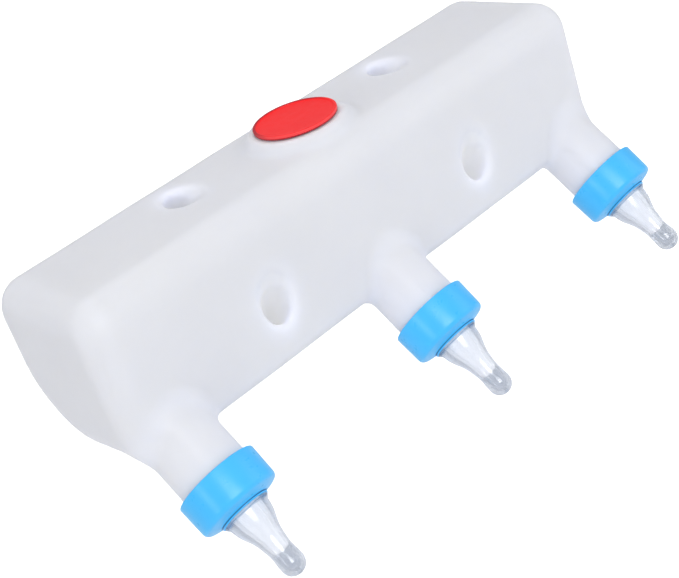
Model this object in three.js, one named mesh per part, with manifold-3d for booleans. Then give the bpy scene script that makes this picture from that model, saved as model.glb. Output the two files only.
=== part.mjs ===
// Three-teat gravity milk feeder: a blow-moulded tank with three threaded necks along its lower
// front edge, a push-in fill plug on top, and on each neck a screw collar that clamps a silicone
// teat and its hard inner core.
// Millimetres, +Z up. Origin: on the flat back face of the tank, at mid length.
// +X runs along the tank, -Y is the teat side (front).
import * as THREE from "three";
import { mergeVertices } from "three/addons/utils/BufferGeometryUtils.js";
import Module from "manifold-3d";

const wasm = await Module();
wasm.setup();

// ---------- driving dimensions ----------
// Names ending in _R are radii. Names ending in _S are places along a neck axis, measured
// outwards from where it crosses the front face plane.
const TANK_LENGTH = 340;
const TANK_DEPTH = 87.4; // front face to back face
const TOP_Z = 28.5; // top face above the origin
const WALL = 2.0; // moulded wall
const END_ROUND = 14.6; // radius where the sides meet the two ends
const END_STEPS = 4;
const MIN_CORNER_R = 0.4; // smallest section corner left after insetting
// Section corners: depth behind the front face, height from the top face, radius, arc segments.
const SECTION = [
  [0, 0, 16.6, 5],
  [-2.7, -83.5, 9.9, 3],
  [61.6, -87.4, 42.6, 4],
  [TANK_DEPTH, -56.7, 41.9, 3],
  [TANK_DEPTH, -0.4, 18.0, 5],
];

const NECK_PITCH = 146; // between neighbouring necks
const NECKS = [
  { side: "left", x: -NECK_PITCH },
  { side: "centre", x: 0 },
  { side: "right", x: NECK_PITCH },
];
const NECK_TILT = THREE.MathUtils.degToRad(43); // below the horizontal, pointing forward
const NECK_HEIGHT = -81.7; // where the axes cross the front face plane, from the top face
const NECK_R = 18.15;
const NECK_BORE_R = 15.9;
const NECK_SHOULDER_S = 24.0;
const NECK_RIM_S = 35.8;
const NECK_CHAMFER = 0.4; // at the shoulder and the rim
const FINISH_R = 17.1; // thread root on the neck
const FINISH_BORE_R = 14.6;
const NECK_FILLET = 6.0;
const FILLET_STATIONS = 20; // around the neck
const FILLET_ARCS = 3;
const FILLET_SUNK = 0.12; // depth of the fillet's edges below the surfaces they meet

const THREAD_LEAD = 4.0;
const THREAD_TURNS = 1.75;
const THREAD_SEGMENTS = 16; // per turn
const THREAD_SUNK = 0.6; // depth of a ridge's foot inside its wall
const THREAD_START_S = 26.6;
const NECK_THREAD_R = 18.3; // outside thread crest
const COLLAR_THREAD_R = 17.6; // inside thread crest
const THREAD_FLANK = 1.45; // axial offset of the collar thread from the neck thread
const COLLAR_THREAD_SHIFT = 1.6; // advance of the collar thread along its own helix

const COLLAR_BACK_S = 22.5;
const COLLAR_FRONT_S = 41.7;
const COLLAR_PLATE_S = 38.6; // inner face of the front plate
const COLLAR_R = 21.45;
const COLLAR_BACK_R = 21.8; // the skirt widens a little towards the tank
const COLLAR_BORE_R = 18.9;
const COLLAR_LIP_R = 18.6; // small inward lip at the mouth
const COLLAR_OPENING_R = 12.0;

const TEAT_TIP_S = 80.3;
const TEAT_TIP_R = 6.3;
const TEAT_HOLE_R = 0.9;
const CORE_TIP_S = 66.4;
const CORE_HOLE_R = 1.3;

const FILL_DEPTH = 41.2; // centre of the fill hole, behind the front face
const FILL_R = 19.4;
const BOSS_TOP = 4.9; // above the top face
const PLUG_R = 22.3;
const PLUG_TOP = 7.4; // above the top face
const SPIGOT_R = FILL_R - 0.4;
const SPIGOT_BOTTOM = -10.0; // from the top face

const TUNNEL_X = NECK_PITCH / 2; // hanging tunnels, both sides of the centre neck
const TUNNEL_MOUTH_R = 9.2;
const TUNNEL_WAIST_R = 4.6;
const TUNNEL_OVERRUN = 16; // cutter length beyond each mouth
// depth and height place the upper mouth, from the front face and the top face.
const TUNNELS = [
  { depth: 0, height: -52, length: 45.9 }, // front face to underside
  { depth: 50.3, height: 0, length: 54.4 }, // top face to back face
];

const LOOKS = {
  tank: { color: 0xdfe2ea, roughness: 0.42 },
  fill_plug: { color: 0xf9423f, roughness: 0.35 },
  collar: { color: 0x4fc4fb, roughness: 0.3 },
  teat: { color: 0xb9bfc9, roughness: 0.2 },
  teat_core: { color: 0xf4f5f7, roughness: 0.4 },
};

// ---------- geometry helpers ----------
const vec2 = (x, y) => new THREE.Vector2(x, y);
const vec3 = (x, y, z) => new THREE.Vector3(x, y, z);

// A closed geometry as a solid, turned face-out if its triangles wind the other way.
function solid(geometry) {
  const bare = geometry.clone();
  bare.deleteAttribute("normal");
  bare.deleteAttribute("uv");
  const merged = mergeVertices(bare, 1e-4);
  const coords = merged.attributes.position.array;
  const vertex = (i) => vec3(...coords.subarray(3 * i, 3 * i + 3));
  const triangles = [];
  let volume = 0;
  for (let i = 0; i < merged.index.count; i += 3) {
    const [a, b, c] = merged.index.array.subarray(i, i + 3);
    if (a === b || b === c || a === c) continue;
    triangles.push(a, b, c);
    volume += vertex(a).dot(vertex(b).cross(vertex(c)));
  }
  if (volume < 0) {
    for (let i = 0; i < triangles.length; i += 3) {
      [triangles[i + 1], triangles[i + 2]] = [triangles[i + 2], triangles[i + 1]];
    }
  }
  return new wasm.Manifold(
    new wasm.Mesh({
      numProp: 3,
      vertProperties: new Float32Array(coords),
      triVerts: new Uint32Array(triangles),
    }),
  );
}

function geometryOf(manifold) {
  const { numVert, numProp, vertProperties, triVerts } = manifold.getMesh();
  const coords = new Float32Array(numVert * 3);
  for (let i = 0; i < numVert; i++) {
    coords.set(vertProperties.subarray(i * numProp, i * numProp + 3), i * 3);
  }
  const geometry = new THREE.BufferGeometry();
  geometry.setAttribute("position", new THREE.BufferAttribute(coords, 3));
  geometry.setIndex(new THREE.BufferAttribute(new Uint32Array(triVerts), 1));
  return geometry;
}

// Turned shape about +Z from [radius, height] pairs.
function turned(profile, segments) {
  const points = profile.map(([radius, height]) => vec2(radius, height));
  return new THREE.LatheGeometry(points, segments).rotateX(Math.PI / 2);
}

function turnedSolid(profile, segments, frame = new THREE.Matrix4()) {
  return solid(turned(profile, segments).applyMatrix4(frame));
}

// Closed loft through rings of equal point count.
// looped joins the last ring to the first, otherwise both ends are capped.
function loft(rings, looped = false) {
  const count = rings[0].length;
  const coords = rings.flat().flatMap((p) => [p.x, p.y, p.z]);
  const indices = [];
  const spans = looped ? rings.length : rings.length - 1;
  for (let i = 0; i < spans; i++) {
    const ring = i * count;
    const next = ((i + 1) % rings.length) * count;
    for (let k = 0; k < count; k++) {
      const k2 = (k + 1) % count;
      indices.push(ring + k, next + k, next + k2, ring + k, next + k2, ring + k2);
    }
  }
  if (!looped) {
    for (const i of [0, rings.length - 1]) {
      const centre = rings[i].reduce((sum, p) => sum.add(p), vec3(0, 0, 0)).divideScalar(count);
      const hub = coords.length / 3;
      coords.push(centre.x, centre.y, centre.z);
      for (let k = 0; k < count; k++) {
        const edge = [i * count + k, i * count + ((k + 1) % count)];
        if (i > 0) edge.reverse();
        indices.push(hub, ...edge);
      }
    }
  }
  const geometry = new THREE.BufferGeometry();
  geometry.setAttribute("position", new THREE.Float32BufferAttribute(coords, 3));
  geometry.setIndex(indices);
  return geometry;
}

// Depth behind the front face and height from the top face, as [y, z].
const toTank = (depth, height) => [depth - TANK_DEPTH, height + TOP_Z];

// Local +Z along axis, local +X along the tank's +X.
function axisFrame(axis, origin) {
  const alongX = vec3(1, 0, 0);
  return new THREE.Matrix4()
    .makeBasis(alongX, axis.clone().cross(alongX), axis)
    .setPosition(origin);
}

// ---------- tank body ----------
// The section outline, moved inwards by inset. Every ring has the same number of points.
function sectionRing(inset) {
  const corners = SECTION.map(([depth, height]) => vec2(...toTank(depth, height)));
  const count = corners.length;
  // Edge i runs from corner i to corner i + 1, anticlockwise seen from +X.
  const edges = corners.map((p, i) => corners[(i + 1) % count].clone().sub(p).normalize());
  const inward = edges.map((edge) => vec2(-edge.y, edge.x));
  return corners.flatMap((corner, i) => {
    const [, , cornerR, segments] = SECTION[i];
    const before = (i + count - 1) % count;
    const turn = Math.atan2(edges[before].cross(edges[i]), edges[before].dot(edges[i]));
    const miter = inward[before]
      .clone()
      .add(inward[i])
      .multiplyScalar(inset / (1 + inward[before].dot(inward[i])));
    const radius = Math.max(cornerR - inset, MIN_CORNER_R);
    const start = corner
      .clone()
      .add(miter)
      .addScaledVector(edges[before], -radius * Math.tan(turn / 2));
    const centre = start.clone().addScaledVector(inward[before], radius);
    return Array.from({ length: segments + 1 }, (_, k) =>
      start.clone().rotateAround(centre, (turn * k) / segments),
    );
  });
}

// Loft along X with rounded ends; inset 0 is the outside, inset WALL the hollow.
function tankBody(inset) {
  const radius = END_ROUND - inset;
  // [x, section inset] through the rounding of the +X end
  const end = Array.from({ length: END_STEPS + 1 }, (_, k) => {
    const angle = ((Math.PI / 2) * k) / END_STEPS;
    return [
      TANK_LENGTH / 2 - END_ROUND + radius * Math.sin(angle),
      inset + radius * (1 - Math.cos(angle)),
    ];
  });
  const stations = [...end.map(([x, ringInset]) => [-x, ringInset]).reverse(), ...end];
  return solid(
    loft(stations.map(([x, ringInset]) => sectionRing(ringInset).map((p) => vec3(x, p.x, p.y)))),
  );
}

// Signed distance in the section plane, negative inside the outline.
const OUTLINE = sectionRing(0);
function sectionDistance(y, z) {
  let nearest = Infinity;
  let inside = true;
  OUTLINE.forEach((start, i) => {
    const edge = OUTLINE[(i + 1) % OUTLINE.length].clone().sub(start);
    const offset = vec2(y, z).sub(start);
    const lengthSq = edge.lengthSq();
    if (lengthSq < 1e-12) return; // coincident points have no direction
    const along = THREE.MathUtils.clamp(offset.dot(edge) / lengthSq, 0, 1);
    nearest = Math.min(nearest, offset.clone().addScaledVector(edge, -along).length());
    if (edge.cross(offset) < 0) inside = false;
  });
  return inside ? -nearest : nearest;
}

// Signed distance to the outside of the tank body, its end rounding included.
function tankDistance({ x, y, z }) {
  const across = sectionDistance(y, z) + END_ROUND;
  const along = Math.abs(x) - (TANK_LENGTH / 2 - END_ROUND);
  const beyond = Math.hypot(Math.max(across, 0), Math.max(along, 0));
  return beyond - END_ROUND + Math.min(Math.max(across, along), 0);
}

// Outward direction at a point, from central differences of the distance.
function tankNormal(point) {
  const step = 0.02;
  const slope = (dx, dy, dz) =>
    tankDistance(point.clone().add(vec3(dx, dy, dz))) -
    tankDistance(point.clone().sub(vec3(dx, dy, dz)));
  return vec3(slope(step, 0, 0), slope(0, step, 0), slope(0, 0, step)).normalize();
}

// ---------- necks ----------
const NECK_AXIS = vec3(0, -Math.cos(NECK_TILT), -Math.sin(NECK_TILT)); // towards the teat tip
const neckFrame = (x) => axisFrame(NECK_AXIS, vec3(x, ...toTank(0, NECK_HEIGHT)));

// A right-hand helical ridge: foot sunk into its wall, both ends tapered down.
function threadRidge(footR, crestR, startS) {
  const steps = Math.round(THREAD_TURNS * THREAD_SEGMENTS);
  const rings = [];
  for (let i = 0; i <= steps; i++) {
    const angle = (2 * Math.PI * i) / THREAD_SEGMENTS;
    const middle = startS + (THREAD_LEAD * i) / THREAD_SEGMENTS;
    const atEnd = i === 0 || i === steps;
    const topR = atEnd ? footR + Math.sign(crestR - footR) * 0.35 : crestR;
    const footHalf = atEnd ? 0.45 : 0.9;
    const topHalf = atEnd ? 0.2 : 0.45;
    const corners = [[footR, -footHalf], [footR, footHalf], [topR, topHalf], [topR, -topHalf]];
    rings.push(
      corners.map(([radius, offset]) =>
        vec3(radius * Math.cos(angle), radius * Math.sin(angle), middle + offset),
      ),
    );
  }
  return loft(rings);
}

// Centre of the fillet ball that touches both neck and body, at one angle around the neck.
function filletCentre(frame, angle) {
  const radius = NECK_R + NECK_FILLET;
  const at = (s) =>
    vec3(radius * Math.cos(angle), radius * Math.sin(angle), s).applyMatrix4(frame);
  let low = -30;
  let high = 40; // distance to the body grows along the axis
  for (let k = 0; k < 40; k++) {
    const middle = (low + high) / 2;
    if (tankDistance(at(middle)) < NECK_FILLET) low = middle;
    else high = middle;
  }
  return at((low + high) / 2);
}

// The rolling-ball blend where a neck leaves the tank body.
function neckBlend(frame) {
  const rings = [];
  for (let i = 0; i < FILLET_STATIONS; i++) {
    const angle = (2 * Math.PI * i) / FILLET_STATIONS;
    const centre = filletCentre(frame, angle);
    const toNeck = vec3(-Math.cos(angle), -Math.sin(angle), 0).transformDirection(frame);
    const toBody = tankNormal(centre).negate();
    const sweep = toNeck.angleTo(toBody);
    const ring = [];
    for (let k = 0; k <= FILLET_ARCS; k++) {
      const part = k / FILLET_ARCS;
      const direction = toNeck
        .clone()
        .multiplyScalar(Math.sin((1 - part) * sweep) / Math.sin(sweep))
        .addScaledVector(toBody, Math.sin(part * sweep) / Math.sin(sweep));
      const sunk = k === 0 || k === FILLET_ARCS ? FILLET_SUNK : 0;
      ring.push(centre.clone().addScaledVector(direction, NECK_FILLET + sunk));
    }
    // closed behind the arc, inside the neck wall and the body
    const between = toNeck.clone().add(toBody).normalize();
    ring.push(
      ring[FILLET_ARCS].clone().addScaledVector(toBody, 1.2),
      centre.clone().addScaledVector(between, NECK_FILLET / Math.cos(sweep / 2) + 0.9),
      ring[0].clone().addScaledVector(toNeck, 1.2),
    );
    rings.push(ring);
  }
  return solid(loft(rings, true));
}

function neckOutside(frame) {
  const profile = [
    [0, -22],
    [NECK_R, -22],
    [NECK_R, NECK_SHOULDER_S - NECK_CHAMFER],
    [NECK_R - NECK_CHAMFER, NECK_SHOULDER_S],
    [FINISH_R, NECK_SHOULDER_S + NECK_CHAMFER],
    [FINISH_R, NECK_RIM_S - NECK_CHAMFER],
    [FINISH_R - NECK_CHAMFER, NECK_RIM_S],
    [0, NECK_RIM_S],
  ];
  const thread = threadRidge(FINISH_R - THREAD_SUNK, NECK_THREAD_R, THREAD_START_S);
  return turnedSolid(profile, 28, frame)
    .add(solid(thread.applyMatrix4(frame)))
    .add(neckBlend(frame));
}

function neckHollow(frame) {
  const profile = [
    [0, -26],
    [NECK_BORE_R, -26],
    [NECK_BORE_R, NECK_SHOULDER_S - 2.4],
    [FINISH_BORE_R, NECK_SHOULDER_S],
    [FINISH_BORE_R, NECK_RIM_S + 2],
    [0, NECK_RIM_S + 2],
  ];
  return turnedSolid(profile, 20, frame);
}

// ---------- hanging tunnels ----------
// Square to the necks, down and back.
const TUNNEL_AXIS = vec3(0, Math.sin(NECK_TILT), -Math.cos(NECK_TILT));

// A waisted cutter through the tank, widened by grow.
function tunnelCutter(x, { depth, height, length }, grow) {
  const waistR = TUNNEL_WAIST_R + grow;
  const mouthR = TUNNEL_MOUTH_R + grow;
  const profile = [
    [0, -TUNNEL_OVERRUN],
    [mouthR + 1.4, -TUNNEL_OVERRUN],
    [mouthR, 0],
    [mouthR - 1.6, 6],
    [waistR, length / 2],
    [mouthR - 1.6, length - 6],
    [mouthR, length],
    [mouthR + 1.4, length + TUNNEL_OVERRUN],
    [0, length + TUNNEL_OVERRUN],
  ];
  return turnedSolid(profile, 16, axisFrame(TUNNEL_AXIS, vec3(x, ...toTank(depth, height))));
}

// ---------- fill opening ----------
const fillCentre = vec3(0, ...toTank(FILL_DEPTH, 0));
const fillFrame = new THREE.Matrix4().setPosition(fillCentre);

function bossOutside() {
  const profile = [
    [0, -12], [33, -12], [31.2, -1.2], [29.2, 0.8], [27.4, 2.7], [26.2, 4.2],
    [24.9, BOSS_TOP], [0, BOSS_TOP],
  ];
  return turnedSolid(profile, 32, fillFrame);
}

function bossHollow() {
  const ceiling = BOSS_TOP - WALL;
  const profile = [
    [0, -14], [30, -14], [28.6, -1.8], [25.8, 1.2], [23.6, ceiling], [0, ceiling],
  ];
  return turnedSolid(profile, 24, fillFrame);
}

// Filled-in cylinder that the fill hole turns into a short lip for the plug.
function fillLip() {
  const lipR = FILL_R + WALL;
  return turnedSolid([[0, -5], [lipR, -5], [lipR, 8], [0, 8]], 32, fillFrame);
}

function fillHole() {
  const chamfer = 0.6;
  const profile = [
    [0, -20],
    [FILL_R, -20],
    [FILL_R, BOSS_TOP - chamfer],
    [FILL_R + chamfer, BOSS_TOP],
    [FILL_R + chamfer, 10],
    [0, 10],
  ];
  return turnedSolid(profile, 32, fillFrame);
}

// ---------- tank ----------
function tankSolid() {
  let outside = tankBody(0).add(bossOutside());
  let hollow = tankBody(WALL).add(bossHollow());
  for (const { x } of NECKS) {
    const frame = neckFrame(x);
    outside = outside.add(neckOutside(frame));
    hollow = hollow.add(neckHollow(frame));
  }
  hollow = hollow.subtract(fillLip());
  for (const x of [-TUNNEL_X, TUNNEL_X]) {
    for (const tunnel of TUNNELS) {
      hollow = hollow.subtract(tunnelCutter(x, tunnel, WALL)); // leaves the tunnel's wall
      outside = outside.subtract(tunnelCutter(x, tunnel, 0));
    }
  }
  return outside.subtract(hollow).subtract(fillHole());
}

// ---------- fill plug: dished disc with a raised rim over a hollow spigot ----------
function plugGeometry() {
  const profile = [
    [0, PLUG_TOP - 3.4],
    [SPIGOT_R - 1.6, PLUG_TOP - 3.4],
    [SPIGOT_R - 1.8, SPIGOT_BOTTOM],
    [SPIGOT_R - 0.6, SPIGOT_BOTTOM],
    [SPIGOT_R, SPIGOT_BOTTOM + 1.6],
    [SPIGOT_R, BOSS_TOP + 0.3],
    [PLUG_R - 0.3, BOSS_TOP + 0.3],
    [PLUG_R, BOSS_TOP + 0.7],
    [PLUG_R, PLUG_TOP - 0.5],
    [PLUG_R - 0.5, PLUG_TOP],
    [PLUG_R - 1.5, PLUG_TOP],
    [PLUG_R - 2.2, PLUG_TOP - 0.6],
    [PLUG_R - 8, PLUG_TOP - 1.1],
    [0, PLUG_TOP - 1.2],
  ];
  return turned(profile, 32);
}

// ---------- collar: threaded skirt with a front plate open in the middle ----------
function collarGeometry() {
  const front = COLLAR_FRONT_S;
  const profile = [
    [COLLAR_LIP_R, COLLAR_BACK_S],
    [COLLAR_BACK_R - 0.4, COLLAR_BACK_S],
    [COLLAR_BACK_R, COLLAR_BACK_S + 0.7],
    [COLLAR_R, front - 6.7],
    [COLLAR_R - 0.1, front - 3.9],
    [COLLAR_R - 0.35, front - 2.9],
    [COLLAR_R - 1.0, front - 2.1],
    [COLLAR_R - 3.0, front - 1.35],
    [16.0, front - 0.7],
    [12.9, front],
    [COLLAR_OPENING_R, front - 0.4],
    [COLLAR_OPENING_R, COLLAR_PLATE_S],
    [COLLAR_BORE_R, COLLAR_PLATE_S],
    [COLLAR_BORE_R, COLLAR_BACK_S + 2.2],
    [COLLAR_LIP_R, COLLAR_BACK_S + 1.8],
    [COLLAR_LIP_R, COLLAR_BACK_S],
  ];
  const thread = threadRidge(
    COLLAR_BORE_R + THREAD_SUNK,
    COLLAR_THREAD_R,
    THREAD_START_S - THREAD_FLANK + COLLAR_THREAD_SHIFT,
  ).rotateZ((2 * Math.PI * COLLAR_THREAD_SHIFT) / THREAD_LEAD);
  return geometryOf(turnedSolid(profile, 30).add(solid(thread)));
}

// ---------- teat: flange behind the collar's front plate, snap bead in front of it ----------
function teatGeometry() {
  const front = COLLAR_FRONT_S;
  const seat = NECK_RIM_S + 0.3;
  const flangeTop = COLLAR_PLATE_S - 0.25;
  const tipCentre = TEAT_TIP_S - TEAT_TIP_R;
  const tipArc = [0, 1, 2, 3].map((k) => {
    const angle = THREE.MathUtils.degToRad((64 * k) / 3);
    return [TEAT_TIP_R * Math.cos(angle), tipCentre + TEAT_TIP_R * Math.sin(angle)];
  });
  const profile = [
    [8.95, flangeTop - 0.25],
    [16.3, flangeTop - 1.15],
    [16.3, seat],
    [18.3, seat],
    [18.3, flangeTop],
    [11.5, flangeTop],
    [11.5, front + 0.35],
    [12.45, front + 0.6],
    [11.7, front + 1.8],
    [10.4, front + 8.3],
    [8.7, front + 12.3],
    [7.25, front + 16.3],
    [6.5, front + 20.3],
    [5.95, front + 25.3],
    [6.15, front + 28.3],
    ...tipArc,
    [TEAT_HOLE_R, TEAT_TIP_S - 0.1],
    [TEAT_HOLE_R, TEAT_TIP_S - 2.0],
    [3.2, tipCentre + 3.0],
    [4.4, tipCentre],
    [4.75, front + 22.5],
    [5.35, front + 18.3],
    [6.4, front + 14.3],
    [8.2, front + 8.3],
    [8.95, front + 2],
    [8.95, flangeTop - 0.25],
  ];
  // vent groove across the sealing face of the flange
  const groove = new THREE.BoxGeometry(1.2, 6, 1.2).translate(0, -16.6, seat);
  return geometryOf(turnedSolid(profile, 20).subtract(solid(groove)));
}

// ---------- teat core: hard hollow cone with a clamping flange and a milk hole in its tip ------
function coreGeometry() {
  const base = NECK_RIM_S + 0.25;
  const front = COLLAR_FRONT_S;
  const profile = [
    [6.9, base],
    [15.9, base],
    [15.9, base + 1.0],
    [8.5, base + 1.35],
    [8.3, front + 1.6],
    [7.6, front + 2.2],
    [6.75, front + 8],
    [4.45, front + 19],
    [4.1, CORE_TIP_S - 2.6],
    [3.2, CORE_TIP_S - 0.9],
    [1.9, CORE_TIP_S],
    [CORE_HOLE_R, CORE_TIP_S],
    [CORE_HOLE_R, CORE_TIP_S - 1.5],
    [2.7, CORE_TIP_S - 3.0],
    [3.3, front + 19],
    [5.5, front + 8],
    [6.5, front],
    [6.9, base],
  ];
  return turned(profile, 16);
}

// ---------- assembly ----------
const feeder = new THREE.Group();
feeder.name = "milk_feeder";

function addPiece(name, geometry, look, parent = feeder) {
  const material = new THREE.MeshStandardMaterial({ ...LOOKS[look], metalness: 0 });
  const mesh = new THREE.Mesh(geometry, material);
  mesh.name = name;
  parent.add(mesh);
  return mesh;
}

addPiece("tank", geometryOf(tankSolid()), "tank");
addPiece("fill_plug", plugGeometry(), "fill_plug").position.copy(fillCentre);

const collar = collarGeometry();
const teat = teatGeometry();
const core = coreGeometry();
for (const { side, x } of NECKS) {
  const station = new THREE.Group();
  station.applyMatrix4(neckFrame(x));
  feeder.add(station);
  addPiece(`screw_collar_${side}`, collar, "collar", station);
  addPiece(`teat_${side}`, teat, "teat", station);
  addPiece(`teat_core_${side}`, core, "teat_core", station);
}

export default feeder;
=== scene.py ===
"""A long moulded feeder tank with three teats on threaded necks and a fill plug on top.

The length lies along x, centred on 0. The front face is at y = -DEPTH and the back at y = 0,
z points up and the top face is at z = TOP. The necks point forward and down from the lower
front edge. Shapes are worked out in millimetres and turned into metres when meshed.
"""

import math

import bpy
import numpy as np
from mathutils import Matrix, Vector


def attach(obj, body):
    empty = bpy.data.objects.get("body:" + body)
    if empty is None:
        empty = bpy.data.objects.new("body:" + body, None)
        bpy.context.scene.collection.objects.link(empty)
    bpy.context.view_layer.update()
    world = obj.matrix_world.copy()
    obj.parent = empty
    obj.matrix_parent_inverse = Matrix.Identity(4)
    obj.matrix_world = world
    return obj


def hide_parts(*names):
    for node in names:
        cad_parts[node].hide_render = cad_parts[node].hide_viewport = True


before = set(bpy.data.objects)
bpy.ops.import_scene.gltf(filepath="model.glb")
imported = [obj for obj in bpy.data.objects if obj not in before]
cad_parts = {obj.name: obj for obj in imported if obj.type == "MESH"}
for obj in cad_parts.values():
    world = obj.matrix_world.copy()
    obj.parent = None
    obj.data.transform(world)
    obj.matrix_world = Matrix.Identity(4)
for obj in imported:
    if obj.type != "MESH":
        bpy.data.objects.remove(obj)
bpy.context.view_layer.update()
MM = 0.001

# ------------------------------------------------------------------
# shared sizes, millimetres
# ------------------------------------------------------------------
LENGTH, DEPTH, TOP = 340.0, 87.4, 28.5
END_ROUNDING = 14.6
SHELL = 3.2  # wall thickness
VOXEL = 1.8

# corners of the tank's cross-section: depth behind the front face,
# height above the top face, corner radius
SECTION = [
    (0.0, 0.0, 16.6),
    (-2.7, -83.5, 9.9),
    (61.6, -87.4, 42.6),
    (87.4, -56.7, 41.9),
    (87.4, -0.4, 18.0),
]

NECK_PITCH = 146.0
NECKS = (("left", -NECK_PITCH), ("centre", 0.0), ("right", NECK_PITCH))
NECK_RADIUS, NECK_SHOULDER, NECK_RIM = 18.15, 24.0, 35.8
TILT = math.radians(43.0)
NECK_AXIS = np.array([0.0, -math.cos(TILT), -math.sin(TILT)])
NECK_ORIGIN = np.array([0.0, -DEPTH, -81.7 + TOP])

TUNNEL_AXIS = np.array([0.0, math.sin(TILT), -math.cos(TILT)])
TUNNEL_X = 73.0
# hanging tunnels, on each side of the middle: depth, height, length
TUNNELS = ((0.0, -52.0, 45.9), (50.3, 0.0, 54.4))
TUNNEL_WAIST, TUNNEL_FLARE = 4.6, 4.1  # radius halfway, and how much wider the mouths are
TUNNEL_LIP = 3.6  # rounding where the tunnels open

FILL_CENTRE = np.array([0.0, 41.2 - DEPTH, TOP])
FILL_RADIUS = 19.4
BOSS_RADIUS, BOSS_HEIGHT, BOSS_ROUNDING = 28.4, 4.75, 2.0

THREAD_LEAD, THREAD_TURNS, THREAD_START = 4.0, 1.75, 26.6
THREAD_STEPS = 64  # per turn
THREAD_FOOT, THREAD_CREST = 0.9, 0.42  # half widths of the ridge

TEAT_BASE = 41.7  # along the neck axis; teat and core stations count from here


# ------------------------------------------------------------------
# mesh helpers
# ------------------------------------------------------------------
def make_object(name, points, faces, sharp_degrees=None):
    """Smooth-shaded object; points in mm, faces an (m, 4) array or a list."""
    mesh = bpy.data.meshes.new(name)
    points = np.asarray(points, dtype=np.float64) * MM
    if isinstance(faces, np.ndarray):
        sides = faces.shape[1]
        mesh.vertices.add(len(points))
        mesh.vertices.foreach_set("co", points.astype(np.float32).ravel())
        mesh.loops.add(faces.size)
        mesh.loops.foreach_set("vertex_index", faces.astype(np.int32).ravel())
        mesh.polygons.add(len(faces))
        starts = (np.arange(len(faces)) * sides).astype(np.int32)
        mesh.polygons.foreach_set("loop_start", starts)
        mesh.update(calc_edges=True)
    else:
        mesh.from_pydata([tuple(point) for point in points], [], faces)
    mesh.validate(clean_customdata=False)
    mesh.polygons.foreach_set("use_smooth", np.ones(len(mesh.polygons), dtype=bool))
    if sharp_degrees is not None:
        mesh.set_sharp_from_angle(angle=math.radians(sharp_degrees))
    mesh.update()
    piece = bpy.data.objects.new(name, mesh)
    bpy.context.scene.collection.objects.link(piece)
    return piece


pieces_by_slot = {}


def register(piece, rides, slot, replaces=None):
    if replaces:
        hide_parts(replaces)
    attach(piece, rides)
    pieces_by_slot.setdefault(slot, []).append(piece)


def cross2(first, second):
    return first[0] * second[1] - first[1] * second[0]


def unit(vector):
    return vector / np.linalg.norm(vector)


def soften(corners, most_steps=5, closed=True):
    """Rounds the corners of a polyline; rows are x, y, corner radius (0 keeps the corner)."""
    points = [np.array(row[:2], float) for row in corners]
    last = len(points) - 1
    rounded = []
    for i, point in enumerate(points):
        radius = corners[i][2]
        if radius <= 0 or (not closed and i in (0, last)):
            rounded.append(point)
            continue
        before = points[i - 1] - point
        after = points[(i + 1) % len(points)] - point
        before_length, after_length = np.linalg.norm(before), np.linalg.norm(after)
        before, after = before / before_length, after / after_length
        angle = math.acos(float(np.clip(before @ after, -1, 1)))
        if angle > math.radians(176.0):
            rounded.append(point)
            continue
        # the arc takes up at most about half of either side
        reach = min(radius / math.tan(angle / 2), 0.49 * before_length, 0.49 * after_length)
        radius = reach * math.tan(angle / 2)
        centre = point + unit(before + after) * (radius / math.sin(angle / 2))
        start, end = point + before * reach - centre, point + after * reach - centre
        first = math.atan2(start[1], start[0])
        sweep = math.atan2(cross2(start, end), start @ end)
        steps = max(1, min(most_steps, math.ceil(abs(sweep) / math.radians(9.0))))
        for k in range(steps + 1):
            around = first + sweep * k / steps
            rounded.append(centre + radius * np.array([math.cos(around), math.sin(around)]))
    return rounded


def face_outward(points, faces):
    """Flips all faces if the volume they enclose comes out negative."""
    volume = 0.0
    for face in faces:
        for j in range(1, len(face) - 1):
            volume += points[face[0]] @ np.cross(points[face[j]], points[face[j + 1]])
    return [face[::-1] for face in faces] if volume < 0 else faces


def turn(profile, segments, basis, closed=True):
    """Revolves (radius, distance) points about an axis. basis = (origin, across, up, axis).
    closed joins last to first; otherwise the ends lie on the axis."""
    origin, across, up, axis = basis
    profile = np.array(profile, float)
    kept = [0]
    for i in range(1, len(profile)):
        if np.linalg.norm(profile[i] - profile[kept[-1]]) > 1e-5:
            kept.append(i)
    profile = profile[kept]
    if closed and np.linalg.norm(profile[0] - profile[-1]) < 1e-5:
        profile = profile[:-1]
    angles = np.arange(segments) * (2 * math.pi / segments)
    points, rings = [], []
    for radius, distance in profile:
        if radius < 1e-6:
            rings.append([len(points)] * segments)
            points.append(origin + axis * distance)
        else:
            rings.append(list(range(len(points), len(points) + segments)))
            for cosine, sine in zip(np.cos(angles), np.sin(angles)):
                points.append(origin + axis * distance + (across * cosine + up * sine) * radius)
    faces = []
    for i in range(len(profile) if closed else len(profile) - 1):
        ring, following = rings[i], rings[(i + 1) % len(profile)]
        for k in range(segments):
            k2 = (k + 1) % segments
            # at a pole two corners fall together and the quad becomes a triangle
            face = list(dict.fromkeys([ring[k], ring[k2], following[k2], following[k]]))
            if len(face) >= 3:
                faces.append(face)
    points = np.array(points)
    return points, face_outward(points, faces)


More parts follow.
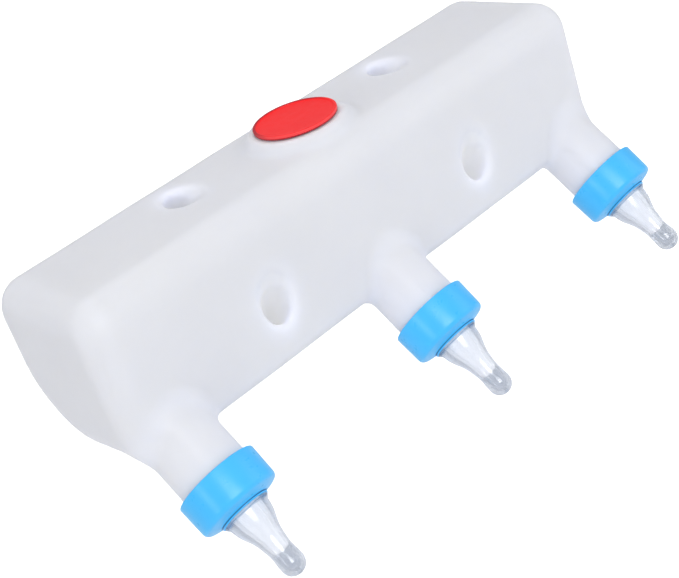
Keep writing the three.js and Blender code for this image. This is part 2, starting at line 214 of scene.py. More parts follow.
def thread_ridge(foot_radius, crest_radius, start, basis, phase=0.0):
    """A rounded right-hand thread ridge with faded ends, as one closed body."""
    origin, across, up, axis = basis
    steps = int(THREAD_TURNS * THREAD_STEPS)
    section = []  # foot to crest to foot, a soft trapezoid
    for offset in np.linspace(-THREAD_FOOT, THREAD_FOOT, 9):
        slope = (abs(offset) - THREAD_CREST) / (THREAD_FOOT - THREAD_CREST)
        height = 1.0 - np.clip(slope, 0, 1)
        section.append((offset, height * height * (3 - 2 * height)))
    buried_radius = foot_radius - math.copysign(0.5, crest_radius - foot_radius)
    fade_steps = THREAD_STEPS * 0.12
    points, faces = [], []
    for i in range(steps + 1):
        angle = 2 * math.pi * i / THREAD_STEPS + phase
        distance = start + THREAD_LEAD * i / THREAD_STEPS
        fade = max(min(1.0, i / fade_steps, (steps - i) / fade_steps), 0.02)
        fade = fade * fade * (3 - 2 * fade)
        width = 0.4 + 0.6 * fade
        outward = across * math.cos(angle) + up * math.sin(angle)
        for offset, height in section:
            radius = foot_radius + (crest_radius - foot_radius) * height * fade
            points.append(origin + axis * (distance + offset * width) + outward * radius)
        for offset in (THREAD_FOOT, -THREAD_FOOT):
            centre = origin + axis * (distance + offset * width)
            points.append(centre + outward * buried_radius)
    count = len(section) + 2
    for i in range(steps):
        here, there = i * count, (i + 1) * count
        for k in range(count):
            k2 = (k + 1) % count
            faces.append([here + k, here + k2, there + k2, there + k])
    faces.append(list(range(count))[::-1])
    faces.append([steps * count + k for k in range(count)])
    points = np.array(points)
    return points, face_outward(points, faces)


def merge(parts):
    points, faces, base = [], [], 0
    for part_points, part_faces in parts:
        points.append(part_points)
        faces += [[i + base for i in face] for face in part_faces]
        base += len(part_points)
    return np.concatenate(points), faces


def neck_basis(x):
    across = np.array([1.0, 0, 0])
    return NECK_ORIGIN + np.array([x, 0, 0]), across, np.cross(NECK_AXIS, across), NECK_AXIS


def spline(places, values, wanted):
    """Monotone cubic through the points."""
    places, values = np.asarray(places, float), np.asarray(values, float)
    gaps = np.diff(places)
    slopes = np.diff(values) / gaps
    tangents = np.zeros(len(places))
    tangents[0], tangents[-1] = slopes[0], slopes[-1]
    for i in range(1, len(places) - 1):
        if slopes[i - 1] * slopes[i] > 0:
            before, after = 2 * gaps[i] + gaps[i - 1], gaps[i] + 2 * gaps[i - 1]
            weighted = before / slopes[i - 1] + after / slopes[i]
            tangents[i] = (before + after) / weighted
    i = np.clip(np.searchsorted(places, wanted) - 1, 0, len(places) - 2)
    t = (wanted - places[i]) / gaps[i]
    t2, t3 = t * t, t * t * t
    return (
        (2 * t3 - 3 * t2 + 1) * values[i]
        + (t3 - 2 * t2 + t) * gaps[i] * tangents[i]
        + (-2 * t3 + 3 * t2) * values[i + 1]
        + (t3 - t2) * gaps[i] * tangents[i + 1]
    )


def curved_wall(stations, count):
    """Profile points along a wall; stations are distance from TEAT_BASE, radius."""
    distances, radii = zip(*stations)
    wanted = np.linspace(distances[0], distances[-1], count)
    radii = spline(distances, radii, wanted)
    return [(float(r), TEAT_BASE + float(s)) for s, r in zip(wanted, radii)]


def arc(centre, radii, angles):
    return [
        (centre[0] + radii[0] * math.cos(a), centre[1] + radii[1] * math.sin(a)) for a in angles
    ]


# ------------------------------------------------------------------
# the tank: one moulded skin, from a distance field
#
# Some grid points lie exactly on a wall, where rounding alone decides their side,
# so changing the order of the sums below can change the mesh.
# ------------------------------------------------------------------
def section_outline():
    """Straights (start, end) and arcs (centre, radius, first and last direction)."""
    corners = [np.array([depth - DEPTH, height + TOP]) for depth, height, _ in SECTION]
    count = len(corners)
    arcs, ends = [], []
    for i, corner in enumerate(corners):
        arriving = unit(corner - corners[i - 1])
        leaving = unit(corners[(i + 1) % count] - corner)
        bend = math.atan2(cross2(arriving, leaving), arriving @ leaving)
        radius = SECTION[i][2]
        reach = radius * math.tan(bend / 2)
        start, end = corner - arriving * reach, corner + leaving * reach
        centre = start + np.array([-arriving[1], arriving[0]]) * radius
        arcs.append((centre, radius, (start - centre) / radius, (end - centre) / radius))
        ends.append((start, end))
    straights = [(ends[i][1], ends[(i + 1) % count][0]) for i in range(count)]
    return straights, arcs


STRAIGHTS, ARCS = section_outline()


def section_field(y, z):
    nearest = np.full(np.shape(y), 1e9)
    inside = np.ones(np.shape(y), bool)
    for start, end in STRAIGHTS:
        edge = end - start
        length = np.linalg.norm(edge)
        edge = edge / length
        away = (y - start[0], z - start[1])
        t = np.clip(away[0] * edge[0] + away[1] * edge[1], 0, length)
        gap = np.hypot(away[0] - edge[0] * t, away[1] - edge[1] * t)
        nearest = np.minimum(nearest, gap)
        inside &= cross2(edge, away) > 0
    for centre, radius, first, last in ARCS:
        away = (y - centre[0], z - centre[1])
        reach = np.hypot(away[0], away[1])
        wedge = (cross2(first, away) >= 0) & (cross2(away, last) >= 0)
        nearest = np.where(wedge, np.minimum(nearest, np.abs(reach - radius)), nearest)
        inside &= ~(wedge & (reach > radius))
    return np.where(inside, -nearest, nearest)


def union_round(a, b, radius):
    corner = np.hypot(np.maximum(radius - a, 0), np.maximum(radius - b, 0))
    return np.maximum(radius, np.minimum(a, b)) - corner


def cut_round(a, b, radius):
    """a with b taken away, its lip rounded by the radius."""
    c = -b
    corner = np.hypot(np.maximum(radius + a, 0), np.maximum(radius + c, 0))
    return np.minimum(-radius, np.maximum(a, c)) + corner


def overlap(a, b):
    """What lies inside both fields."""
    return np.hypot(np.maximum(a, 0), np.maximum(b, 0)) + np.minimum(np.maximum(a, b), 0)


def body_field(points):
    d = section_field(points[..., 1], points[..., 2]) + END_ROUNDING
    x = np.abs(points[..., 0]) - (LENGTH / 2 - END_ROUNDING)
    corner = np.hypot(np.maximum(d, 0), np.maximum(x, 0))
    return corner - END_ROUNDING + np.minimum(np.maximum(d, x), 0)


def about_axis(points, origin, axis):
    """Radius from an axis and distance along it."""
    away = points - origin
    distance = away @ axis
    squared = np.einsum("...i,...i->...", away, away) - distance * distance
    return np.sqrt(np.maximum(squared, 0)), distance


def tunnel_field(points, grow=0.0):
    nearest = np.full(points.shape[:-1], 1e9)
    for x in (-TUNNEL_X, TUNNEL_X):
        for depth, height, length in TUNNELS:
            origin = np.array([x, depth - DEPTH, height + TOP])
            radius, distance = about_axis(points, origin, TUNNEL_AXIS)
            k = np.abs(distance - length / 2) / (length / 2)
            wall = TUNNEL_WAIST + TUNNEL_FLARE * np.clip(k, 0, 1.0) ** 1.7
            nearest = np.minimum(nearest, (radius - wall - grow) * 0.97)
    return nearest


def lip_radius(points):
    """The mouths blend softly into the faces; most of all the upper edge of the front ones."""
    high = np.clip((points[..., 2] - (TOP - 52.0)) / 14.0, 0, 1)
    t = high * np.clip((-50.0 - points[..., 1]) / 20.0, 0, 1)
    return TUNNEL_LIP + 2.6 * t * t * (3 - 2 * t)


def about_fill(points):
    """Radius from the fill hole's axis and height above the top face."""
    x = points[..., 0] - FILL_CENTRE[0]
    y = points[..., 1] - FILL_CENTRE[1]
    return np.hypot(x, y), points[..., 2] - FILL_CENTRE[2]


def boss_field(points, shrink=0.0):
    """The low round boss about the fill hole."""
    radius, z = about_fill(points)
    taper = 0.55 * np.clip(z, 0, 6)
    side = (radius - (BOSS_RADIUS - shrink - BOSS_ROUNDING) + taper) * 0.9
    ends = np.maximum(z - (BOSS_HEIGHT - shrink - BOSS_ROUNDING), -14 - z)
    return overlap(side, ends) - BOSS_ROUNDING


def skin_fields(points):
    """The outside of the tank, with its body and the bore of the necks for the inside."""
    x, y, z = points[..., 0], points[..., 1], points[..., 2]
    body = body_field(points)
    # blown walls are never dead flat
    waver = 0.10 * np.sin(x * 0.041 + 1.3) * np.cos(z * 0.055 + y * 0.037) + 0.06 * np.sin(
        x * 0.097 - y * 0.071 + 0.4
    )
    skin = body + waver
    neck = np.full(points.shape[:-1], 1e9)
    bore = np.full(points.shape[:-1], 1e9)
    rounding = 0.7
    for _, neck_x in NECKS:
        origin = NECK_ORIGIN + np.array([neck_x, 0, 0])
        radius, distance = about_axis(points, origin, NECK_AXIS)
        side = radius - (NECK_RADIUS - rounding)
        ends = np.maximum(distance - (NECK_SHOULDER - rounding), -30 - distance)
        neck = np.minimum(neck, overlap(side, ends) - rounding)
        hollow = np.maximum(radius - (NECK_RADIUS - SHELL), -32 - distance)
        bore = np.minimum(bore, hollow)
    skin = union_round(skin, neck, 6.5)
    skin = union_round(skin, boss_field(points), 4.5)
    return cut_round(skin, tunnel_field(points), lip_radius(points)), body, bore


def tank_field(points):
    skin, body, bore = skin_fields(points)
    inside = np.minimum(np.minimum(body + SHELL, boss_field(points, SHELL)), bore)
    inside = cut_round(inside, tunnel_field(points, SHELL), lip_radius(points) + 1.5)
    wall = cut_round(skin, inside, 0.25)
    radius, z = about_fill(points)
    hole = np.maximum(radius - FILL_RADIUS - 0.1, np.maximum(-26 - z, z - 30))
    return cut_round(wall, hole, 0.7)


def surface_net(field, step, low, high):
    """Dual surface of a distance field on a grid, its points then moved onto the surface."""
    size = np.ceil((high - low) / step).astype(int) + 1
    lines = [low[i] + step * np.arange(size[i]) for i in range(3)]
    values = np.empty(size, np.float32)
    for i in range(size[0]):  # slab by slab, to keep memory small
        slab = np.empty((size[1], size[2], 3))
        slab[..., 0] = lines[0][i]
        slab[..., 1] = lines[1][:, None]
        slab[..., 2] = lines[2][None, :]
        values[i] = field(slab)
    solid = values < 0

    # one point in every cell that the surface crosses
    corners = [(i, j, k) for k in (0, 1) for j in (0, 1) for i in (0, 1)]
    solid_corners = np.zeros(size - 1, np.uint8)
    for i, j, k in corners:
        solid_corners += solid[
            i : size[0] - 1 + i, j : size[1] - 1 + j, k : size[2] - 1 + k
        ]
    crossed = (solid_corners > 0) & (solid_corners < 8)
    ids = np.full(crossed.shape, -1, np.int64)
    ids[crossed] = np.arange(crossed.sum())
    cells = np.argwhere(crossed)
    total = np.zeros((len(cells), 3))
    hits = np.zeros(len(cells))
    at_corner = [values[cells[:, 0] + i, cells[:, 1] + j, cells[:, 2] + k] for i, j, k in corners]
    edges = [
        (a, b)
        for a in range(8)
        for b in range(a + 1, 8)
        if sum(abs(corners[a][k] - corners[b][k]) for k in range(3)) == 1
    ]
    for a, b in edges:
        hit = (at_corner[a] < 0) != (at_corner[b] < 0)
        drop = np.where(hit, at_corner[a] - at_corner[b], 1)
        t = np.where(hit, at_corner[a] / drop, 0)[:, None]
        start, end = np.array(corners[a], float), np.array(corners[b], float)
        total += np.where(hit[:, None], start + (end - start) * t, 0)
        hits += hit
    points = low + step * (cells + total / hits[:, None])

    # one quad across every grid edge that the surface crosses
    quads = []
    for axis in range(3):
        u, v = (axis + 1) % 3, (axis + 2) % 3
        near, far = [slice(None)] * 3, [slice(None)] * 3
        near[axis], far[axis] = slice(0, size[axis] - 1), slice(1, size[axis])
        starts, ends = solid[tuple(near)], solid[tuple(far)]
        edge = np.argwhere(starts != ends)
        inner = (edge[:, u] > 0) & (edge[:, v] > 0)
        inner &= (edge[:, u] < size[u] - 1) & (edge[:, v] < size[v] - 1)
        edge = edge[inner]
        leaves_solid = starts[tuple(edge.T)]
        around = []
        for back_u, back_v in ((1, 1), (0, 1), (0, 0), (1, 0)):
            cell = edge.copy()
            cell[:, u] -= back_u
            cell[:, v] -= back_v
            around.append(ids[tuple(cell.T)])
        quad = np.stack(around, 1)
        quad[~leaves_solid] = quad[~leaves_solid][:, ::-1]
        quads.append(quad)

    nudge = 0.05
    for _ in range(4):
        value = field(points)
        rise = [field(points + d) - field(points - d) for d in np.eye(3) * nudge]
        gradient = np.stack(rise, 1) / (2 * nudge)
        squared = np.maximum((gradient * gradient).sum(1), 0.25)
        move = np.clip(value / squared, -0.6 * step, 0.6 * step)
        points = points - move[:, None] * gradient
    return points, np.concatenate(quads)


def store_values(piece, name, values):
    attribute = piece.data.attributes.new(name, "FLOAT", "POINT")
    attribute.data.foreach_set("value", values.astype(np.float32))


def build_tank():
    low = np.array([-LENGTH / 2 - 4, -DEPTH - 40.0, -84.0])
    high = np.array([LENGTH / 2 + 4, 4.0, TOP + 7])
    points, faces = surface_net(tank_field, VOXEL, low, high)
    tank = make_object("feeder_tank", points, faces)
    # how deep a tunnel wall lies behind the outer skin; it sets a painted glow in the recesses,
    # in place of light the milky wall carries in
    in_tunnel = tunnel_field(points) < 2.7
    depth = np.clip(-body_field(points) - 0.2, 0, None) * in_tunnel
    upper_share = np.where(points[:, 2] > TOP - 30.0, 0.72, 1.0)
    store_values(tank, "painted_recess_glow", (1.0 - np.exp(-depth / 5.0)) * upper_share)
    # 1 on the inside of the wall, 0 on the outside; it places the painted glow seen through the
    # fill hole
    store_values(tank, "lining", np.clip(-skin_fields(points)[0] - 1.0, 0, 1))
    register(tank, "tank_body", "tank_plastic", replaces="tank")


# ------------------------------------------------------------------
# turned pieces; profile rows are radius, distance along the axis, corner radius
# ------------------------------------------------------------------
MOUTH_PROFILE = [
    (14.6, 21.0, 0), (17.1, 21.0, 0), (17.1, NECK_RIM, 0.5), (14.6, NECK_RIM, 0.4),
]
PLUG_PROFILE = [
    (0, 4.0, 0), (17.3, 4.0, 0.6), (17.3, -10.0, 0.3), (18.5, -10.0, 0.4),
    (19.0, -8.2, 0.5), (19.0, 5.15, 0.3), (22.25, 5.15, 0.45), (22.3, 7.4, 0.55),
    (21.0, 7.4, 0.35), (20.55, 6.65, 0.5), (14.0, 6.35, 2.0), (0, 6.3, 0),
]
COLLAR_PROFILE = [
    (18.6, 22.5, 0.2), (21.75, 22.5, 0.6), (21.45, 34.9, 20.0), (21.3, 39.9, 2.9),
    (17.2, 40.75, 8.0), (14.3, 41.45, 0.5), (13.75, 41.95, 0.25), (12.75, 42.0, 0.08),
    (12.75, 42.25, 0.08), (13.35, 42.3, 0.22), (13.2, 42.95, 0.25), (12.1, 43.0, 0.2),
    (12.0, 38.6, 0.2), (18.9, 38.6, 0.4), (18.9, 24.7, 0.2), (18.6, 24.3, 0.2),
]
# the clamped flange of the teat and the two small beads above it
TEAT_FOOT_PROFILE = [
    (8.95, 38.1, 0), (16.3, 37.2, 0.3), (16.3, 36.1, 0.2), (18.3, 36.1, 0.4),
    (18.3, 38.35, 0.5), (11.5, 38.35, 0.2), (11.5, TEAT_BASE + 1.4, 0.1),
    (12.7, TEAT_BASE + 1.5, 0.22), (12.55, TEAT_BASE + 2.05, 0.22),
    (11.6, TEAT_BASE + 2.2, 0.08), (11.6, TEAT_BASE + 2.4, 0.08),
    (12.0, TEAT_BASE + 2.5, 0.15), (11.9, TEAT_BASE + 2.85, 0.15), (11.4, TEAT_BASE + 3.0, 0),
]
# wall stations: distance from TEAT_BASE, radius
TEAT_WALL_END, TEAT_TIP_RADIUS, TEAT_TIP_BORE = 32.3, 6.3, 4.4
TEAT_OUTSIDE = [
    (3.0, 11.4), (5.0, 11.1), (8.3, 10.35), (12.3, 8.72), (14.3, 7.9), (16.3, 7.25),
    (18.3, 6.82), (20.3, 6.5), (22.3, 6.2), (24.3, 5.98), (26.3, 5.97), (28.3, 6.12),
    (30.3, 6.28), (TEAT_WALL_END, TEAT_TIP_RADIUS),
]
TEAT_INSIDE = [
    (-3.6, 8.95), (2.0, 9.3), (8.3, 8.75), (14.3, 6.8), (18.3, 5.75), (22.5, 5.3),
    (26.5, 5.05), (TEAT_WALL_END, TEAT_TIP_BORE),
]
CORE_WALL_END = 22.9
CORE_OUTSIDE = [(2.2, 8.05), (8.0, 7.3), (14.0, 5.95), (19.0, 5.15), (CORE_WALL_END, 4.8)]
# radius, distance along the axis
CORE_FOOT = [
    (6.9, 36.05), (15.7, 36.05), (15.9, 36.2), (15.9, 36.9), (15.7, 37.05), (8.9, 37.3),
    (8.5, 37.7), (8.4, TEAT_BASE + 1.2), (8.3, TEAT_BASE + 1.6), (8.15, TEAT_BASE + 1.9),
]
CORE_BORE = [
    (1.3, 67.3), (1.25, 65.6), (3.0, 64.0), (3.8, 60.7), (5.9, TEAT_BASE + 8), (6.7, TEAT_BASE),
]
# the cores sit a little to one side in their soft teats
CORE_OFFSET = np.array([0.856, -0.353, 0.379]) * 0.45
# the collar's thread starts back from the neck's, then a little way on along its own helix
COLLAR_THREAD_BACK, COLLAR_THREAD_ON = 1.45, 1.6


def build_mouth(side, basis):
    """The threaded mouth of a neck."""
    ring = turn(soften(MOUTH_PROFILE), 96, basis)
    ridge = thread_ridge(16.95, 18.3, THREAD_START, basis)
    mouth = make_object("neck_mouth_" + side, *merge([ring, ridge]), sharp_degrees=40)
    register(mouth, "tank_body", "tank_plastic")


def build_plug():
    basis = (FILL_CENTRE, *np.eye(3))
    profile = soften(PLUG_PROFILE, most_steps=6, closed=False)
    shape = turn(profile, 128, basis, closed=False)
    plug = make_object("plug_cap", *shape, sharp_degrees=55)
    register(plug, "plug_body", "plug_plastic", replaces="fill_plug")


def build_collar(side, basis):
    ring = turn(soften(COLLAR_PROFILE, most_steps=6), 144, basis)
    start = THREAD_START - COLLAR_THREAD_BACK + COLLAR_THREAD_ON
    phase = 2 * math.pi * COLLAR_THREAD_ON / THREAD_LEAD
    ridge = thread_ridge(19.05, 17.6, start, basis, phase=phase)
    collar = make_object("collar_ring_" + side, *merge([ring, ridge]), sharp_degrees=40)
    register(collar, "collar_" + side, "collar_plastic", replaces="screw_collar_" + side)


def build_teat(side, basis):
    tip_centre = (0.0, TEAT_BASE + TEAT_WALL_END)
    outer_angles = np.linspace(0.05, math.radians(80), 18)
    inner_angles = np.linspace(math.radians(76), 0.05, 12)
    profile = (
        [tuple(point) for point in soften(TEAT_FOOT_PROFILE, most_steps=4, closed=False)]
        + curved_wall(TEAT_OUTSIDE, 60)[1:]
        + arc(tip_centre, (TEAT_TIP_RADIUS, TEAT_TIP_RADIUS), outer_angles)
        + [(0.8, 80.2), (0.8, 78.3)]  # the hole in the tip
        + arc(tip_centre, (TEAT_TIP_BORE, 4.1), inner_angles)
        + curved_wall(TEAT_INSIDE, 60)[:0:-1]
    )
    teat = make_object("teat_skin_" + side, *turn(profile, 96, basis), sharp_degrees=50)
    register(teat, "teat_set_" + side, "teat_silicone", replaces="teat_" + side)


def build_core(side, basis):
    cap_centre = (2.0, TEAT_BASE + CORE_WALL_END)
    cap = arc(cap_centre, (2.8, 2.7), np.linspace(0.1, math.pi / 2, 10))
    profile = CORE_FOOT + curved_wall(CORE_OUTSIDE, 30) + cap + CORE_BORE
    points, faces = turn(profile, 96, basis)
    core = make_object("core_cone_" + side, points + CORE_OFFSET, faces, sharp_degrees=45)
    register(core, "teat_set_" + side, "core_plastic", replaces="teat_core_" + side)


build_tank()
for side, x in NECKS:
    build_mouth(side, neck_basis(x))
build_plug()
for side, x in NECKS:
    for build in (build_collar, build_teat, build_core):
        build(side, neck_basis(x))


# ------------------------------------------------------------------
# shader helpers
# ------------------------------------------------------------------
NOISE_SPAN = (0.3, 0.7)  # the part of a noise's range that gets spread out


def feed(tree, node, inputs):
    """Links sockets and sets values; colours may be given without alpha."""
    for key, value in inputs.items():
        socket = node.inputs[key]
        if isinstance(value, bpy.types.NodeSocket):
            tree.links.new(value, socket)
        elif socket.type == "RGBA" and len(value) == 3:
            socket.default_value = (*value, 1)
        else:
            socket.default_value = value


def add_node(tree, kind, inputs=None, **settings):
    node = tree.nodes.new(kind)
    for key, value in settings.items():
        setattr(node, key, value)
    feed(tree, node, inputs or {})
    return node


def new_material(name):
    material = bpy.data.materials.new(name)
    material.use_nodes = True
    tree = material.node_tree
    tree.nodes.clear()
    output = add_node(tree, "ShaderNodeOutputMaterial")
    shader = add_node(tree, "ShaderNodeBsdfPrincipled")
    feed(tree, output, {0: shader.outputs[0]})
    return material, tree, shader, output


def calculate(tree, operation, *terms):
    inputs = dict(enumerate(terms))
    return add_node(tree, "ShaderNodeMath", inputs, operation=operation).outputs[0]


def noise(tree, place, scale, detail=3.0, roughness=0.5):
    inputs = {"Vector": place, "Scale": scale, "Detail": detail, "Roughness": roughness}
    return add_node(tree, "ShaderNodeTexNoise", inputs).outputs["Fac"]


def ramp(tree, value, source=NOISE_SPAN, target=(0.0, 1.0)):
    """Maps the source range onto the target range, held at both ends."""
    inputs = {
        "Value": value,
        "From Min": source[0], "From Max": source[1],
        "To Min": target[0], "To Max": target[1],
    }
    return add_node(tree, "ShaderNodeMapRange", inputs).outputs[0]


def mix_colour(tree, share, first, second):
    inputs = {0: share, 6: first, 7: second}
    return add_node(tree, "ShaderNodeMix", inputs, data_type="RGBA").outputs[2]


def mix_shader(tree, share, first, second):
    inputs = {0: share, 1: first.outputs[0], 2: second.outputs[0]}
    return add_node(tree, "ShaderNodeMixShader", inputs)


def bump(tree, height, strength, distance, normal=None):
    """distance in mm."""
    inputs = {"Height": height, "Strength": strength, "Distance": distance * MM}
    if normal is not None:
        inputs["Normal"] = normal
    return add_node(tree, "ShaderNodeBump", inputs).outputs[0]


def object_place(tree):
    return add_node(tree, "ShaderNodeTexCoord").outputs["Object"]


def light_path(tree):
    return add_node(tree, "ShaderNodeLightPath").outputs


def point_value(tree, name):
    return add_node(tree, "ShaderNodeAttribute", attribute_name=name).outputs["Fac"]


def source_of(socket):
    return socket.links[0].from_socket if socket.links else socket.default_value


def painted_shade_bands(tree, node, key, bands, colour):
    """Paints dark bands of shade around the neck axis, where narrow grooves would be in shadow;
    bands are distance along it, half width, in mm.
    """
    axis = tuple(float(c) * 1000 for c in NECK_AXIS)
    inputs = {0: object_place(tree), 1: axis}
    along = add_node(tree, "ShaderNodeVectorMath", inputs, operation="DOT_PRODUCT")
    origin = float(NECK_ORIGIN @ NECK_AXIS)
    distance = calculate(tree, "SUBTRACT", along.outputs["Value"], origin)
    edge = 0.06  # softness of a band's edges
    share = None
    for centre, half_width in bands:
        away = calculate(tree, "ABSOLUTE", calculate(tree, "SUBTRACT", distance, centre))
        span = (half_width - edge, half_width + edge)
        band = ramp(tree, away, source=span, target=(1.0, 0.0))
        share = band if share is None else calculate(tree, "MAXIMUM", share, band)
    tinted = mix_colour(tree, share, source_of(node.inputs[key]), colour)
    feed(tree, node, {key: tinted})


# ------------------------------------------------------------------
# materials
# ------------------------------------------------------------------
def plastic(name, base, shade, roughness, mottle, specular, subsurface, radius):
    """Mottled plastic; mottle is the scale of its colour noise, radius that of the scattering."""
    material, tree, shader, _ = new_material(name)
    place = object_place(tree)
    blotches = noise(tree, place, scale=mottle, detail=4.0, roughness=0.55)
    wear = noise(tree, place, scale=260.0, roughness=0.6)
    grain = noise(tree, place, scale=900.0, detail=2.0, roughness=0.6)
    waves = noise(tree, place, scale=45.0, detail=2.0)
    normal = bump(tree, grain, strength=0.25, distance=0.02)
    normal = bump(tree, waves, strength=0.5, distance=0.10, normal=normal)
    feed(tree, shader, {
        "Base Color": mix_colour(tree, ramp(tree, blotches), base, shade),
        "Roughness": ramp(tree, wear, target=(roughness - 0.04, roughness + 0.05)),
        "Normal": normal,
        "Subsurface Weight": subsurface,
        "Subsurface Radius": radius,
        "Subsurface Scale": 1.0,
        "IOR": 1.5,
        "Specular IOR Level": specular,
        "Coat Weight": 0.0,
        "Coat Roughness": 0.18,
    })
    return material, tree, shader


def tank_material():
    material, tree, shader = plastic(
        "milky_polyethylene", base=(0.792, 0.812, 0.945), shade=(0.772, 0.792, 0.93),
        roughness=0.42, mottle=22.0, specular=0.38,
        subsurface=1.0, radius=(0.0075, 0.0078, 0.0085),
    )
    # the recess and lining values drive painted glows (emission) on the tank, not lamps
    recess_glow_share, lining_glow_share = 0.15, 0.34  # strengths of the glow
    painted_recess_glow = calculate(tree, "MULTIPLY", point_value(tree, "painted_recess_glow"), recess_glow_share)
    painted_recess_glow.node.name = "recess_glow"
    # painted glow on the inside of the wall, seen by the camera through the open fill hole, in
    # place of light through the milky walls
    lining = point_value(tree, "lining")
    seen = calculate(tree, "MULTIPLY", lining, light_path(tree)["Is Camera Ray"])
    recess_glow_colour, lining_glow_colour = (1.0, 0.96, 0.70), (0.86, 0.90, 1.0)
    feed(tree, shader, {
        "Emission Strength": calculate(tree, "MULTIPLY_ADD", seen, lining_glow_share, painted_recess_glow),
        "Emission Color": mix_colour(tree, lining, recess_glow_colour, lining_glow_colour),
    })
    return material


def collar_material():
    material, tree, shader = plastic(
        "sky_blue_polypropylene", base=(0.062, 0.515, 0.978), shade=(0.055, 0.49, 0.958),
        roughness=0.30, mottle=60.0, specular=0.4,
        subsurface=0.0, radius=(0.001, 0.002, 0.004),
    )
    # painted shade: a dark blue line in the small groove at the collar's mouth
    painted_shade_bands(tree, shader, "Base Color", bands=[(42.12, 0.17)], colour=(0.012, 0.13, 0.36))
    return material


def plug_material():
    """Red, with painted shade where the edge drops into its joint and along the back of the rim,
    and a painted highlight on the side wall.
    """
    material, tree, shader = plastic(
        "red_soft_plastic", base=(0.98, 0.020, 0.023), shade=(0.95, 0.018, 0.021),
        roughness=0.38, mottle=60.0, specular=0.17,
        subsurface=0.0, radius=(0.003, 0.001, 0.001),
    )
    # place in mm from the centre of the fill hole
    inputs = {0: object_place(tree), 1: (1000, 1000, 1000), 2: tuple(-FILL_CENTRE)}
    place = add_node(tree, "ShaderNodeVectorMath", inputs, operation="MULTIPLY_ADD")
    x, y, z = add_node(tree, "ShaderNodeSeparateXYZ", {0: place.outputs[0]}).outputs
    flat = add_node(tree, "ShaderNodeCombineXYZ", {0: x, 1: y}).outputs[0]
    length = add_node(tree, "ShaderNodeVectorMath", {0: flat}, operation="LENGTH")
    radius = length.outputs["Value"]

    # painted shade: darker red along the far side of the rim, which turns from the light, and
    # along the bottom edge where the plug meets the boss
    rim = ramp(tree, radius, source=(20.6, 20.95))
    back = calculate(tree, "MULTIPLY", rim, ramp(tree, y, source=(-4.0, 8.0)))
    below = ramp(tree, z, source=(6.05, 5.85))
    low = calculate(tree, "MULTIPLY", below, ramp(tree, radius, source=(21.6, 21.9)))
    edge = calculate(tree, "MAXIMUM", back, low)

    # painted highlight: a paler red on the side wall, as if catching the light
    side = ramp(tree, radius, source=(21.9, 22.1), target=(0.0, 0.75))
    painted_highlight_colour, painted_shade_colour = (0.93, 0.085, 0.085), (0.42, 0.020, 0.030)
    with_painted_highlight = mix_colour(tree, side, source_of(shader.inputs["Base Color"]), painted_highlight_colour)
    feed(tree, shader, {"Base Color": mix_colour(tree, edge, with_painted_highlight, painted_shade_colour)})
    return material


def core_material():
    material, tree, shader = plastic(
        "white_core_plastic", base=(0.93, 0.93, 0.945), shade=(0.90, 0.90, 0.92),
        roughness=0.40, mottle=90.0, specular=0.5,
        subsurface=0.0, radius=(0.002, 0.002, 0.002),
    )
    # painted glow (emission), in place of light gathered by the clear teat around it
    feed(tree, shader, {"Emission Color": (1.0, 0.955, 0.91), "Emission Strength": 0.36})
    return material


def teat_material():
    material, tree, shader, output = new_material("clear_silicone")
    place = object_place(tree)
    blotches = ramp(tree, noise(tree, place, scale=120.0))
    wear = noise(tree, place, scale=300.0)
    waves = noise(tree, place, scale=220.0, detail=2.0)
    feed(tree, shader, {
        "Base Color": mix_colour(tree, blotches, (0.77, 0.79, 0.83), (0.73, 0.75, 0.79)),
        "Roughness": ramp(tree, wear, target=(0.06, 0.14)),
        "Normal": bump(tree, waves, strength=0.3, distance=0.05),
        "Transmission Weight": 1.0,
        "IOR": 1.41,
    })
    # a little cloud in the rubber, and light that passes straight through its soft surface
    veil = add_node(tree, "ShaderNodeBsdfTranslucent", {"Color": (0.60, 0.64, 0.71)})
    thin = add_node(tree, "ShaderNodeBsdfTransparent", {"Color": (0.84, 0.86, 0.89)})
    shine = add_node(tree, "ShaderNodeBsdfGlossy", {"Color": (1, 1, 1), "Roughness": 0.09})
    veil_share, shine_share, soft_share = 0.12, 0.06, 0.55
    cloudy = mix_shader(tree, veil_share, thin, veil)
    shiny = mix_shader(tree, shine_share, cloudy, shine)
    soft = mix_shader(tree, soft_share, shader, shiny)
    soft.name = "soft_share"
    # light reaches the core through the silicone without being lost in its refraction
    path = light_path(tree)
    passing = calculate(tree, "MAXIMUM", path["Is Shadow Ray"], path["Is Diffuse Ray"])
    clear = add_node(tree, "ShaderNodeBsdfTransparent", {"Color": (0.95, 0.955, 0.965)})
    feed(tree, output, {0: mix_shader(tree, passing, soft, clear).outputs[0]})
    # painted shade: dark grey-blue lines in the grooves beside the teat's beads
    for node, key in ((shader, "Base Color"), (thin, "Color")):
        bands = [(43.12, 0.14), (44.0, 0.13)]
        painted_shade_bands(tree, node, key, bands=bands, colour=(0.16, 0.30, 0.46))
    return material


def floor_material():
    material, tree, shader, output = new_material("pale_floor")
    blotches = ramp(tree, noise(tree, object_place(tree), scale=3.0))
    feed(tree, shader, {
        "Base Color": mix_colour(tree, blotches, (0.93, 0.93, 0.94), (0.95, 0.95, 0.95)),
        "Roughness": 0.8,
        "Specular IOR Level": 0.1,
    })
    # seen directly, the floor is a lit white studio sweep;
    # what it gives back to the feeder stays plain diffuse
    glow = add_node(tree, "ShaderNodeEmission", {"Strength": 0.62})
    inputs = {0: shader.outputs[0], 1: glow.outputs[0]}
    lit = add_node(tree, "ShaderNodeAddShader", inputs)
    mixed = mix_shader(tree, light_path(tree)["Is Camera Ray"], shader, lit)
    feed(tree, output, {0: mixed.outputs[0]})
    return material


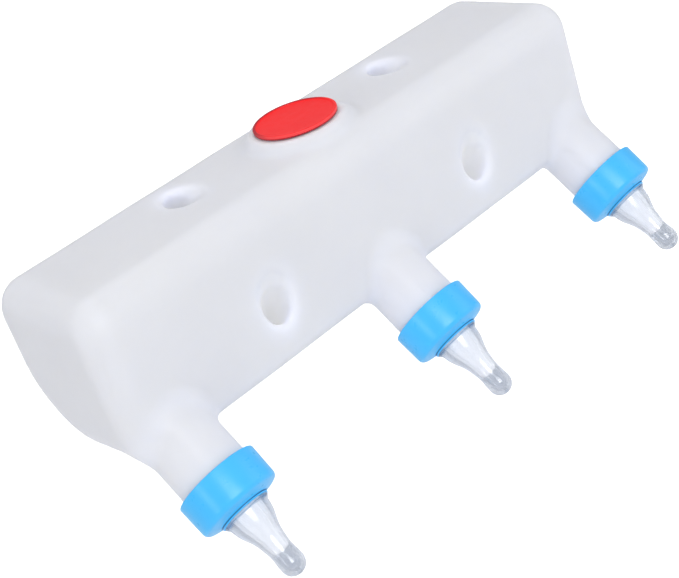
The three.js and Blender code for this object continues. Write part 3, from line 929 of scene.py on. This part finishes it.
MATERIALS = {
    "tank_plastic": tank_material(),
    "collar_plastic": collar_material(),
    "plug_plastic": plug_material(),
    "core_plastic": core_material(),
    "teat_silicone": teat_material(),
}
for slot, material in MATERIALS.items():
    for piece in pieces_by_slot[slot]:
        piece.data.materials.clear()
        piece.data.materials.append(material)


# ------------------------------------------------------------------
# floor, world, lights and camera; places in metres unless marked
# ------------------------------------------------------------------
def build_floor(half=6, height=-0.22):
    mesh = bpy.data.meshes.new("floor")
    corners = [(-half, -half), (half, -half), (half, half), (-half, half)]
    mesh.from_pydata([(x, y, height) for x, y in corners], [], [(0, 1, 2, 3)])
    floor = bpy.data.objects.new("floor", mesh)
    mesh.materials.append(floor_material())
    bpy.context.scene.collection.objects.link(floor)


def build_world():
    """Plain white to the camera, dimmer and cooler as a light."""
    world = bpy.data.worlds.new("studio")
    bpy.context.scene.world = world
    world.use_nodes = True
    tree = world.node_tree
    tree.nodes.clear()
    output = add_node(tree, "ShaderNodeOutputWorld")
    inputs = {"Color": (0.97, 0.98, 1.0), "Strength": 0.50}
    light = add_node(tree, "ShaderNodeBackground", inputs)
    backdrop = add_node(tree, "ShaderNodeBackground", {"Color": (1, 1, 1), "Strength": 1.0})
    mixed = mix_shader(tree, light_path(tree)["Is Camera Ray"], light, backdrop)
    feed(tree, output, {0: mixed.outputs[0]})


def area_light(name, place, size, power, colour, size_y=None, target=(0, -0.05, -0.02),
               width_along=None):
    """Area light aimed at the target; width_along turns its width towards a direction."""
    light = bpy.data.lights.new(name, "AREA")
    light.energy = power
    light.color = colour
    light.size = size
    if size_y:
        light.shape = "RECTANGLE"
        light.size_y = size_y
    lamp = bpy.data.objects.new(name, light)
    lamp.location = place
    toward = Vector(target) - Vector(place)
    if width_along:
        back = (-toward).normalized()
        across = Vector(width_along)
        across = (across - back * across.dot(back)).normalized()
        turned = Matrix((across, back.cross(across), back)).transposed()
    else:
        turned = toward.to_track_quat("-Z", "Y")
    lamp.rotation_euler = turned.to_euler()
    bpy.context.scene.collection.objects.link(lamp)


def build_camera():
    camera = bpy.data.cameras.new("camera")
    camera.sensor_width = 36.0
    camera.lens = 72.765066
    camera.clip_end = 50
    holder = bpy.data.objects.new("camera", camera)
    scene = bpy.context.scene
    scene.collection.objects.link(holder)
    right = Vector((0.69278, -0.66252, -0.28482))
    up = Vector((0.51431, 0.17706, 0.83913))
    back = Vector((-0.50550, -0.72782, 0.46341))
    # millimetres, from the front face and the top face
    place = Vector((-378.42, -492.53 - DEPTH, 248.27 + TOP)) * MM
    turned = Matrix((right, up, back)).transposed()
    holder.matrix_world = Matrix.Translation(place) @ turned.to_4x4()
    scene.camera = holder


build_floor()
build_world()
area_light("key_light", place=(-0.5, -1.3, 1.1), size=0.9, size_y=0.7, power=12.5,
           colour=(1.0, 1.0, 1.0))
area_light("fill_light", place=(1.2, -0.9, 0.5), size=1.2, power=4.5, colour=(0.97, 0.98, 1.0))
area_light("left_light", place=(-2.8, -0.2, 1.05), size=0.5, size_y=1.9, power=14.0,
           colour=(0.98, 0.98, 1.0), width_along=(-0.31, 0.65, -0.70))
area_light("top_light", place=(0.1, 0.6, 1.4), size=1.0, power=4.5, colour=(1.0, 0.98, 1.0),
           target=(0, -0.05, 0))
bpy.context.scene.view_settings.view_transform = "Standard"
bpy.context.scene.view_settings.look = "None"
build_camera()
